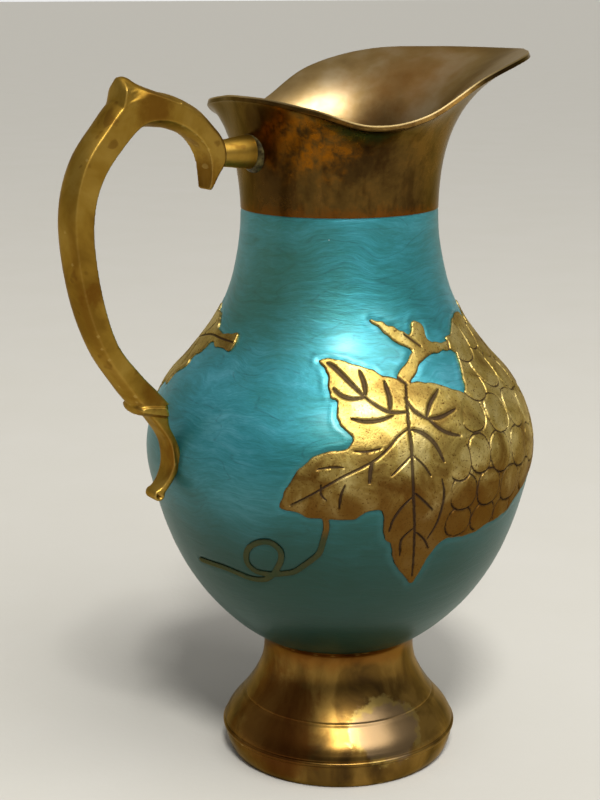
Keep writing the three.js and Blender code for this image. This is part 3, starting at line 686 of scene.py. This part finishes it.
def bar_mesh():
    """The handle's bar: flat sides, a domed outer face, and a keel that swells under the arch."""
    steps, columns = 14, 13
    inner = spline([pair[0] for pair in HANDLE_STATIONS], steps)
    outer = spline([pair[1] for pair in HANDLE_STATIONS], steps)
    along = np.linspace(0, 1, len(inner))
    outward = outer - inner
    outward /= np.hypot(*outward.T)[:, None]
    taper = TIP["width"] + (1 - TIP["width"]) * np.sqrt(np.minimum(along / TIP["length"], 1))
    keel = smoothstep(along, KEEL["start"], KEEL["middle"])
    keel *= smoothstep(-along, -KEEL["end"], -KEEL["middle"])
    dome = HANDLE_DOME * smoothstep(along, *DOME_START)
    half = HANDLE_WIDTH / 2
    across = np.linspace(-1, 1, columns)
    lift_in = HANDLE_HOLLOW - (HANDLE_HOLLOW + KEEL["depth"]) * keel
    rows = []
    for side, faces_out in [(x, True) for x in across] + [(x, False) for x in across[::-1]]:
        round_off = 1 - side * side
        edge = outer if faces_out else inner
        lift = dome if faces_out else lift_in
        base = edge + outward * (lift * round_off)[:, None]
        rows.append(np.stack([-base[:, 0], side * half * taper, COLLAR_HEIGHT + base[:, 1]], -1))
    rings = np.stack(rows, 1)
    count, sides = rings.shape[:2]
    faces = grid_faces(count, sides).tolist()
    faces += [list(range(sides))[::-1], list(range((count - 1) * sides, count * sides))]
    return new_mesh("bar", rings.reshape(-1, 3), faces)


def plate_mesh(name, outline, widths, heights, rounding, flatness):
    """A plate in the handle's plane, with a domed rim."""
    rim = spline(outline, 6, closed=True)
    tangent = np.roll(rim, -1, 0) - np.roll(rim, 1, 0)
    inward = np.stack([-tangent[:, 1], tangent[:, 0]], -1) / np.hypot(*tangent.T)[:, None]
    area = np.sum(rim[:, 0] * np.roll(rim[:, 1], -1) - np.roll(rim[:, 0], -1) * rim[:, 1])
    inward *= np.sign(area)
    half = (widths[0] + (widths[1] - widths[0]) * smoothstep(rim[:, 1], *heights)) / 2
    levels = (-1, -0.9, -0.7, -0.4, 0, 0.4, 0.7, 0.9, 1)
    rings = []
    for across in levels:
        flat = rim + inward * abs(across) ** flatness * rounding
        rings.append(np.stack([-flat[:, 0], across * half, COLLAR_HEIGHT + flat[:, 1]], -1))
    points = np.array(rings)
    count = len(rim)
    faces = grid_faces(len(levels), count).tolist()
    faces += [list(range(count)), list(range((len(levels) - 1) * count, len(levels) * count))[::-1]]
    return new_mesh(name, points.reshape(-1, 3), faces)


def curl_mesh():
    """The scroll's rolled end: a short roll, dished at both ends."""
    half, radius = CURL["width"] / 2, CURL["radius"]
    side = [(0.05, half - 1.5), (0.4 * radius, half - 1.3), (0.6 * radius, half - 0.2),
            (0.8 * radius, half), (radius, half - 0.5)]
    profile = np.array(side + [(r, -place) for r, place in side[::-1]])
    points, faces = turned(profile, 40)
    centre = (-CURL["behind"], 0, COLLAR_HEIGHT + CURL["height"])
    return new_mesh("curl", points[:, [0, 2, 1]] + centre, faces)


def with_modifiers(mesh, *settings):
    """A mesh after some modifiers, each given as its kind and its values."""
    holder = bpy.data.objects.new("holder", mesh)
    bpy.context.scene.collection.objects.link(holder)
    for kind, values in settings:
        modifier = holder.modifiers.new(kind, kind)
        for key, value in values.items():
            setattr(modifier, key, value)
    graph = bpy.context.evaluated_depsgraph_get()
    made = bpy.data.meshes.new_from_object(holder.evaluated_get(graph))
    bpy.data.objects.remove(holder)
    return made


def joined(meshes):
    """One mesh that holds several."""
    points, faces = [], []
    for mesh in meshes:
        start = len(points)
        points += [vertex.co[:] for vertex in mesh.vertices]
        faces += [[start + k for k in polygon.vertices] for polygon in mesh.polygons]
    mesh = bpy.data.meshes.new("joined")
    mesh.from_pydata(points, [], faces)
    return mesh


def casting(name, meshes):
    """Overlapping lumps melted into one casting with soft corners."""
    made = with_modifiers(
        joined(meshes),
        ("REMESH", {"mode": "VOXEL", "voxel_size": CASTING_VOXEL * MM}),
        ("SMOOTH", {"factor": 0.5, "iterations": CASTING_SMOOTHING}),
    )
    made.name = name
    return made


def handle_mesh():
    """The cast handle, from its hook round to its scroll."""
    return casting("handle", [bar_mesh(), *(plate_mesh(*plate) for plate in PLATES), curl_mesh()])


def along_post(profile, segments, lumps):
    """A closed outline of (radius, place along X) turned about the post's axis."""
    points, faces = turned(profile, segments)
    angle = np.degrees(np.arctan2(points[:, 1], points[:, 0]))
    swell = 1 + lumps * waves(angle, points[:, 2] * LUMPS["along"], LUMPS["size"], POST_SEED)
    turned_over = np.stack([points[:, 2], points[:, 0] * swell, points[:, 1] * swell], -1)
    return turned_over + (0, 0, COLLAR_HEIGHT + POST_RISE), faces


def post_mesh():
    start, end = POST_SPAN
    places = np.linspace(start, end, 24)
    thin, thick = POST_RADII
    swell = POST_HEAD["swell"] * smoothstep(places, start + POST_HEAD["length"], start)
    radius = thin + (thick - thin) * smoothstep(places, start + POST_HEAD["neck"], end)
    outside = np.stack([radius + swell, places], -1)
    return new_mesh("post", *along_post(np.vstack([[0.3, start], outside, [0.3, end]]), 64, LUMPS["post"]))


def solder_mesh():
    start, end = SOLDER_SPAN
    bore = POST_RADII[1] - 0.4
    profile = spline([
        (bore, start), (bore + 0.7, start), (SOLDER_RADIUS - 0.4, start + 0.6),
        (SOLDER_RADIUS, start + 1.4), (SOLDER_RADIUS + 0.1, end), (bore, end),
    ], 4, closed=True)
    return new_mesh("post_solder", *along_post(profile, 72, LUMPS["solder"]))


# --- Materials ---

def set_stops(node, stops):
    """Gives a colour ramp its stops, each a place and a colour."""
    elements = node.color_ramp.elements
    while len(elements) < len(stops):
        elements.new(0.5)
    for element, (place, shade) in zip(elements, stops):
        element.position = place
        element.color = shade


def colour(code):
    """Linear colour of a hex code."""
    parts = [int(code[k:k + 2], 16) / 255 for k in (0, 2, 4)]
    return (*(c / 12.92 if c <= 0.04045 else ((c + 0.055) / 1.055) ** 2.4 for c in parts), 1.0)


EDGE_TINT = colour("e6d8bc")  # how the tarnished brass reflects at a grazing angle


def put(tree, socket, value):
    """Gives an input its value: a number, a colour or another node's output."""
    if isinstance(value, bpy.types.NodeSocket):
        tree.links.new(value, socket)
    else:
        socket.default_value = value


def add_node(tree, kind, output, inputs, **settings):
    """One output of a new node, whose inputs are given by name or by number."""
    made = tree.nodes.new("ShaderNode" + kind)
    for key, value in settings.items():
        setattr(made, key, value)
    for key, value in inputs.items():
        put(tree, made.inputs[key], value)
    return made.outputs[output]


class Paint:
    """A material's nodes, with a short word for each kind. Sizes are in millimetres."""

    def __init__(self, name, **uniform):
        self.material = bpy.data.materials.new(name)
        self.material.use_nodes = True
        self.tree = self.material.node_tree
        self.tree.nodes.clear()
        output = self.tree.nodes.new("ShaderNodeOutputMaterial")
        self.shader = self.tree.nodes.new("ShaderNodeBsdfPrincipled")
        self.tree.links.new(self.shader.outputs["BSDF"], output.inputs["Surface"])
        for name, value in uniform.items():
            self.shader.inputs[name.replace("_", " ").title()].default_value = value
        place = self.vector("SUBTRACT", self.node("TexCoord", "Object", {}), tuple(AXIS))
        self.place = self.vector("SCALE", place, Scale=1 / MM)

    def node(self, kind, output, inputs, **settings):
        return add_node(self.tree, kind, output, inputs, **settings)

    def vector(self, operation, *values, output="Vector", **named):
        return self.node("VectorMath", output, {**dict(enumerate(values)), **named}, operation=operation)

    def math(self, operation, a, b=0.0):
        return self.node("Math", "Value", {0: a, 1: b}, operation=operation)

    def total(self, *terms):
        """The sum of values, each times its weight."""
        parts = [value if weight == 1 else self.math("MULTIPLY", value, weight) for value, weight in terms]
        result = parts[0]
        for part in parts[1:]:
            result = self.math("ADD", result, part)
        return result

    def noise(self, size, detail=4.0, roughness=0.55, distortion=0.0, place=None, output="Fac"):
        return self.node("TexNoise", output, {
            "Vector": place or self.place, "Scale": 1 / size, "Detail": detail, "Roughness": roughness,
            "Distortion": distortion,
        })

    def specks(self, size, radius):
        """1 inside sparse dots of a radius, on a lattice of some size."""
        distance = self.node("TexVoronoi", "Distance", {"Vector": self.place, "Scale": 1 / size})
        return self.fade(distance, radius / size, 0.6 * radius / size)

    def warped(self, size, reach):
        """The place pushed about by smooth noise."""
        push = self.vector("SUBTRACT", self.noise(size, 2.0, output="Color"), (0.5, 0.5, 0.5))
        return self.vector("ADD", self.place, self.vector("SCALE", push, Scale=2 * reach))

    def stretched(self, factors, place=None):
        return self.vector("MULTIPLY", place or self.place, factors)

    def fade(self, value, start, end):
        """0 at start and 1 at end, smooth between them."""
        low, high = (1.0, 0.0) if start > end else (0.0, 1.0)
        return self.node("MapRange", "Result", {
            "Value": value, "From Min": min(start, end), "From Max": max(start, end),
            "To Min": low, "To Max": high,
        }, interpolation_type="SMOOTHSTEP")

    def lerp(self, factor, low, high):
        """A number from low to high."""
        return self.node("MapRange", "Result", {"Value": factor, "To Min": low, "To Max": high})

    def ramp(self, value, *stops):
        shade = self.node("ValToRGB", "Color", {"Fac": value})
        set_stops(shade.node, [(place, colour(code)) for place, code in stops])
        return shade

    def mix(self, factor, a, b):
        """Colour a, going over to b, a colour or its code, as factor goes to 1."""
        b = colour(b) if isinstance(b, str) else b
        return self.node("Mix", 2, {"Factor": factor, 6: a, 7: b}, data_type="RGBA")

    def stain(self, base, where, strength, code):
        """The base colour with another over it where a mask says, as strong as strength."""
        return self.mix(self.math("MULTIPLY", where, strength), base, code)

    def mark(self, name):
        return self.node("Attribute", "Fac", {}, attribute_name=name)

    def blot(self, azimuth, reach, height, size, ragged=0.35, tall=1.0, edge=(1.2, 0.7)):
        """1 inside a ragged blot about a point some reach out from the axis."""
        centre = direction(azimuth, 0) * reach + Vector((0, 0, height))
        away = self.vector("SUBTRACT", self.place, tuple(centre))
        away = self.vector("LENGTH", self.stretched((1, 1, 1 / tall), away), output="Value")
        push = self.math("SUBTRACT", self.noise(size * 0.6, 5.0, 0.62), 0.5)
        return self.fade(self.total((self.math("DIVIDE", away, size), 1), (push, 4 * ragged)), *edge)

    def facing(self, axis):
        """How far the surface faces along an axis or against it, from 0 to 1."""
        normal = self.node("NewGeometry", "Normal", {})
        return self.math("ABSOLUTE", self.vector("DOT_PRODUCT", normal, axis, output="Value"))

    def along(self, axis):
        """Distance along X, Y or Z from the vessel's axis on the ground."""
        return self.node("SeparateXYZ", axis, {"Vector": self.place})

    def edges(self, low, high):
        """Convex corners, from the surface's own pointiness."""
        return self.fade(self.node("NewGeometry", "Pointiness", {}), low, high)

    def bump(self, height, depth, below=None):
        """A normal from a height of 0 to 1, some millimetres deep, over the bumps below it."""
        inputs = {"Distance": depth * MM, "Height": height}
        if below is not None:
            inputs["Normal"] = below
        return self.node("Bump", "Normal", inputs)

    def finish(self, base, roughness, normal):
        for name, value in (("Base Color", base), ("Roughness", roughness), ("Normal", normal)):
            put(self.tree, self.shader.inputs[name], value)
        return self.material


def enamel_paint():
    """Pearly teal with fine, nearly level brush strokes, with painted shade making it greener and darker
    towards the foot.
    """
    tint = colour("c8e4dc")
    p = Paint("enamel_paint", metallic=0.75, specular_tint=tint, coat_weight=0.5, coat_roughness=0.3)
    swirl = p.warped(42, 9)
    strokes = p.noise(7, 5.0, 0.62, 0.35, p.stretched((0.55, 0.55, 3.2), swirl))
    fine = p.noise(1.6, 4.0, 0.7, 0.3, p.stretched((0.5, 0.5, 3.2), swirl))
    cloud = p.noise(46, 2.0, 0.5, 0.3)
    tone = p.total((strokes, 0.3), (cloud, 0.5), (fine, 0.2))
    base = p.ramp(tone, (0.38, "277270"), (0.48, "2e8387"), (0.56, "39949f"), (0.68, "5dafbf"))
    contour = p.noise(22, 1.0, 0.4, 0.3, p.stretched((0.6, 0.6, 2.6), swirl))
    hair = p.fade(p.math("ABSOLUTE", p.math("SUBTRACT", contour, 0.5)), 0.02, 0.0)
    hair = p.math("MULTIPLY", hair, p.fade(fine, 0.42, 0.6))
    base = p.stain(base, hair, 0.45, "1a4a4c")
    # Painted shade: the enamel turns greener and darker towards the foot, as if mirroring the dark ground.
    low = p.fade(p.total((p.along("Z"), 1), (cloud, 16)), 166, 96)
    base = p.stain(base, low, 0.95, "0a3322")
    behind = p.blot(-168, 42, COLLAR_HEIGHT - 22, 26, 0.2, edge=(1.7, 0.1))
    base = p.stain(base, behind, 0.5, "4c6a3c")
    base = p.stain(base, p.mark("edge"), 0.08, "63bcc8")
    base = p.mix(p.specks(31, 0.45), base, "e8f2f0")
    normal = p.bump(strokes, 0.22)
    normal = p.bump(fine, 0.04, normal)
    return p.finish(base, p.lerp(tone, 0.56, 0.42), normal)


def relief_paint():
    """Golden cast brass, finely pitted, with painted shade that browns it low down and darkens its grooves,
    and enamel left over the tendril.
    """
    p = Paint("relief_paint", metallic=1.0, specular_tint=EDGE_TINT)
    patches = p.noise(15, 4.0, 0.6, 0.5)
    pits = p.noise(0.75, 3.0, 0.6)
    base = p.ramp(patches, (0.35, "8f7338"), (0.5, "b59c52"), (0.64, "cfba76"))
    # Painted shade: the vine turns brown low down.
    painted_low_shade = p.fade(p.total((p.along("Z"), 1), (patches, 44)), 166, 138)
    base = p.stain(base, painted_low_shade, 0.88, "5e3a11")
    base = p.mix(p.fade(pits, 0.44, 0.3), base, "5a3c18")
    # Painted shade: the chased grooves and the lines round the grapes are darkened.
    groove = p.fade(p.mark("groove"), 0.2, 0.8)
    base = p.stain(base, groove, 0.88, "43342a")
    base = p.stain(base, p.fade(p.mark("rim"), 0.4, 1.0), 0.35, "6f5436")
    film = p.math("MULTIPLY", p.mark("covered"), p.lerp(p.noise(4, 3.0), 0.55, 1.0))
    base = p.mix(film, base, "2c4433")
    normal = p.bump(pits, 0.08)
    normal = p.bump(p.noise(3.2, 3.0, 0.5), 0.12, normal)
    rough = p.total((p.lerp(pits, 0.54, 0.34), 1), (groove, 0.25))
    return p.finish(base, rough, normal)


def neck_paint():
    """Dark, glossy, streaky tarnish outside with painted reflections in dark patches and an orange patch,
    greyer and duller inside.
    """
    p = Paint("neck_paint", metallic=1.0, specular_tint=EDGE_TINT)
    broad = p.noise(24, 5.0, 0.55, 0.3, p.stretched((1, 1, 0.7)))
    mottle = p.noise(3.2, 4.0, 0.65, 0.3)
    tone = p.total((broad, 0.72), (mottle, 0.28))
    outside = p.ramp(tone, (0.38, "412d13"), (0.5, "58421e"), (0.62, "6d4f23"))
    streaks = p.noise(8, 4.0, 0.6, 0.2, p.stretched((1, 1, 0.28)))
    outside = p.stain(outside, p.fade(streaks, 0.52, 0.36), 0.5, "2e1c0a")
    # Painted reflections: two dark patches where the neck mirrors dim surroundings.
    dark_reflection = p.blot(-172, 40, COLLAR_HEIGHT + 8, 15, 0.3, 1.7)
    outside = p.stain(outside, dark_reflection, 0.5, "3a230d")
    dark_reflection = p.blot(-119, 42, COLLAR_HEIGHT + 21, 9, 0.4)
    outside = p.stain(outside, dark_reflection, 0.6, "2f1f0e")
    # Painted reflection: an orange patch, broken up by the mottle.
    orange_reflection = p.blot(-141, 42, COLLAR_HEIGHT + 26, 17, 0.6, 0.6, (1.5, 0.4))
    outside = p.mix(p.math("MULTIPLY", orange_reflection, p.fade(mottle, 0.3, 0.65)), outside, "8f560f")
    low_rub = p.fade(p.total((p.along("Z"), 1), (mottle, -9)), COLLAR_HEIGHT, COLLAR_HEIGHT - 5)
    outside = p.stain(outside, low_rub, 0.5, "7a430e")
    cloud = p.noise(22, 4.0, 0.5)
    inside = p.ramp(cloud, (0.38, "7f663f"), (0.5, "92794e"), (0.64, "a48f6b"))
    shade = p.blot(30, 38, COLLAR_HEIGHT + 18, 11, 0.35, 1.7, (1.5, 0.4))
    inside = p.stain(inside, shade, 0.6, "4c3114")
    warm = p.blot(25, 62, COLLAR_HEIGHT + 34, 24, 0.4, edge=(1.6, 0.3))
    inside = p.stain(inside, warm, 0.45, "8a5417")
    within = p.mark("inside")
    base = p.mix(within, outside, inside)
    # Painted highlight along the lip's rounded inner edge.
    base = p.stain(base, p.mark("rim"), 0.5, "c2aa74")
    normal = p.bump(p.noise(1.1, 3.0, 0.6), 0.02)
    normal = p.bump(mottle, 0.05, normal)
    rough = p.total((p.lerp(tone, 0.18, 0.34), 1), (within, 0.14))
    return p.finish(base, rough, normal)


def foot_paint():
    """Polished brown brass, rusty under the handle and the body, with two mauve stains ringed in yellow."""
    p = Paint("foot_paint", metallic=1.0, specular_tint=EDGE_TINT)
    sweep = p.noise(15, 4.0, 0.55, 0.5, p.stretched((1, 1, 0.45)))
    base = p.ramp(sweep, (0.36, "49351a"), (0.5, "6b5024"), (0.64, "8d6d34"))
    rust = p.blot(-164, 42, 26, 24, 0.5)
    base = p.stain(base, rust, 0.6, "5a2b08")
    under_body = p.fade(p.total((p.along("Z"), 1), (sweep, 14)), 48, 54)
    base = p.stain(base, under_body, 0.5, "7c4510")
    for azimuth in (-97, 62):
        ring = p.blot(azimuth, 39, 21, 15.5, 0.4, 0.75, (1.1, 0.9))
        base = p.stain(base, ring, 0.6, "a88f4f")
        stain = p.blot(azimuth, 39, 20, 13.5, 0.4, 0.75, (1.15, 0.85))
        base = p.stain(base, stain, 0.65, "7b6350")
    base = p.stain(base, p.edges(0.52, 0.6), 0.6, "d9c07c")
    normal = p.bump(p.noise(0.9, 3.0, 0.6), 0.015)
    normal = p.bump(p.noise(24, 2.0), 0.25, normal)
    return p.finish(base, p.lerp(sweep, 0.24, 0.36), normal)


def handle_paint():
    """Satin olive gold, browner at the hook, with painted shade in the corners, painted highlights along
    the edges and a few dark pits.
    """
    p = Paint("handle_paint", metallic=1.0, specular_tint=EDGE_TINT)
    drift = p.noise(16, 4.0, 0.55, 0.4)
    base = p.ramp(drift, (0.35, "805e1f"), (0.5, "97742a"), (0.65, "a8863a"))
    spots = p.noise(7, 2.0, 0.45, 0.3)
    base = p.stain(base, p.fade(spots, 0.64, 0.7), 0.55, "6b4718")
    # Brown stains, the one above the knuckle also painted shadow where the bar meets it.
    for azimuth, reach, height, size in HANDLE_STAINS_AND_SHADE:
        stain = p.blot(azimuth, reach, height, size, 0.45, edge=(1.5, 0.5))
        base = p.stain(base, stain, 0.65, "6c410f")
    near_side = p.fade(p.math("ABSOLUTE", p.along("Y")), 3.0, 6.0)
    border = p.math("MULTIPLY", near_side, p.fade(p.facing((0, 1, 0)), 0.65, 0.3))
    border = p.math("MULTIPLY", border, p.fade(p.along("Z"), COLLAR_HEIGHT + 18, COLLAR_HEIGHT - 4))
    base = p.stain(base, border, 0.6, "70440f")
    # Painted highlights along the convex edges, and painted shade in the concave corners.
    base = p.stain(base, p.edges(0.51, 0.56), 0.3, "d2b368")
    base = p.stain(base, p.edges(0.485, 0.45), 0.7, "4a300f")
    base = p.mix(p.specks(19, 0.55), base, "2c1c0c")
    normal = p.bump(p.noise(0.6, 3.0, 0.6), 0.035)
    normal = p.bump(p.noise(6, 2.0), 0.12, normal)
    return p.finish(base, p.lerp(drift, 0.5, 0.38), normal)


def solder_paint():
    """Dull grey-green solder, blackened in its pits."""
    p = Paint("solder_paint", metallic=0.85)
    crust = p.noise(2.4, 3.0, 0.55)
    base = p.ramp(crust, (0.36, "2e2716"), (0.5, "473e24"), (0.66, "6b6038"))
    return p.finish(base, p.lerp(crust, 0.6, 0.42), p.bump(crust, 0.15))


def floor_paint():
    """A plain, pale, matt ground."""
    p = Paint("floor_paint")
    base = p.ramp(p.noise(90, 4.0, 0.6), (0.3, "c3bfb4"), (0.7, "c5c1b7"))
    return p.finish(base, 0.9, p.bump(p.noise(3, 3.0), 0.1))


# --- The scene ---

def add_camera():
    """A camera that stands where the photographer stood."""
    place = direction(CAMERA["azimuth"], 0) * CAMERA["distance"] + Vector((0, 0, CAMERA["height"]))
    camera = bpy.data.objects.new("camera", bpy.data.cameras.new("camera"))
    camera.data.lens = CAMERA["lens"]
    camera.matrix_world = (
        Matrix.Translation(AXIS + place * MM)
        @ Matrix.Rotation(math.radians(CAMERA["heading"] - 90), 4, "Z")
        @ Matrix.Rotation(math.radians(90 - CAMERA["pitch"]), 4, "X")
        @ Matrix.Rotation(math.radians(CAMERA["roll"]), 4, "Z")
    )
    bpy.context.scene.collection.objects.link(camera)
    bpy.context.scene.camera = camera


def add_light(name, kind, azimuth, elevation, distance, settings):
    """A light that shines at the pitcher's middle."""
    data = bpy.data.lights.new(name, kind)
    for key, value in settings.items():
        setattr(data, key, value)
    light = bpy.data.objects.new(name, data)
    aim = direction(azimuth, elevation)
    light.location = AXIS + (Vector((0, 0, LIGHT_AIM)) + aim * distance) * MM
    light.rotation_mode = "QUATERNION"
    light.rotation_quaternion = aim.to_track_quat("Z", "Y")
    bpy.context.scene.collection.objects.link(light)


def add_world():
    """Soft studio surroundings: dim on the camera's side, brighter behind the pitcher and overhead."""
    world = bpy.data.worlds.new("studio")
    bpy.context.scene.world = world
    world.use_nodes = True
    tree = world.node_tree
    place = add_node(tree, "TexCoord", "Generated", {})
    height = add_node(tree, "SeparateXYZ", "Z", {"Vector": place})
    level = add_node(tree, "ValToRGB", "Color", {"Fac": height})
    set_stops(level.node, [(stop, (grey, grey, grey, 1)) for stop, grey in WORLD_LEVELS])
    axis = direction(WORLD_BRIGHT_SIDE, 0)
    behind = add_node(tree, "VectorMath", "Value", {0: place, 1: axis}, operation="DOT_PRODUCT")
    side = {"Value": behind, "From Min": -1, "To Min": WORLD_DIM, "To Max": 1}
    background = tree.nodes["Background"]
    put(tree, background.inputs["Color"], level)
    put(tree, background.inputs["Strength"], add_node(tree, "MapRange", "Result", side))


def add_floor():
    """A square of ground that reaches the horizon."""
    size, drop = FLOOR["half_size"], FLOOR["drop"]
    corners = [(x * size, y * size, -drop) for x, y in ((-1, -1), (1, -1), (1, 1), (-1, 1))]
    floor = bpy.data.objects.new("floor", new_mesh("floor", corners, [(0, 1, 2, 3)]))
    floor.data.materials.append(floor_paint())
    bpy.context.scene.collection.objects.link(floor)


def build():
    relief, handle, solder = relief_paint(), handle_paint(), solder_paint()
    piece("body_shell", body_shell_mesh(), "relief_brass", relief, "body_casting")
    piece("vine_front", vine_mesh("vine_front", 0), "relief_brass", relief, "body_casting")
    piece("vine_back", vine_mesh("vine_back", 180), "relief_brass", relief, "body_casting")
    piece("enamel", enamel_mesh(), "enamel", enamel_paint(), "enamel_coat")
    piece("neck", neck_mesh(), "tarnished_brass", neck_paint(), "neck_spout")
    piece("foot", foot_mesh(), "foot_brass", foot_paint(), "foot_base")
    piece("handle", handle_mesh(), "handle_brass", handle, "handle_casting", sharp=60)
    piece("post", post_mesh(), "handle_brass", handle, "handle_post")
    piece("post_solder", solder_mesh(), "solder", solder, "post_fillet", sharp=60)
    for seam in ("neck_seam", "foot_seam"):
        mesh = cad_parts[seam].data
        mesh.materials.clear()
        mesh.materials.append(solder)


build()
add_floor()
add_world()
add_light("key", **KEY_LIGHT)
add_light("fill", **FILL_LIGHT)
add_camera()
bpy.context.scene.view_settings.view_transform = "Standard"
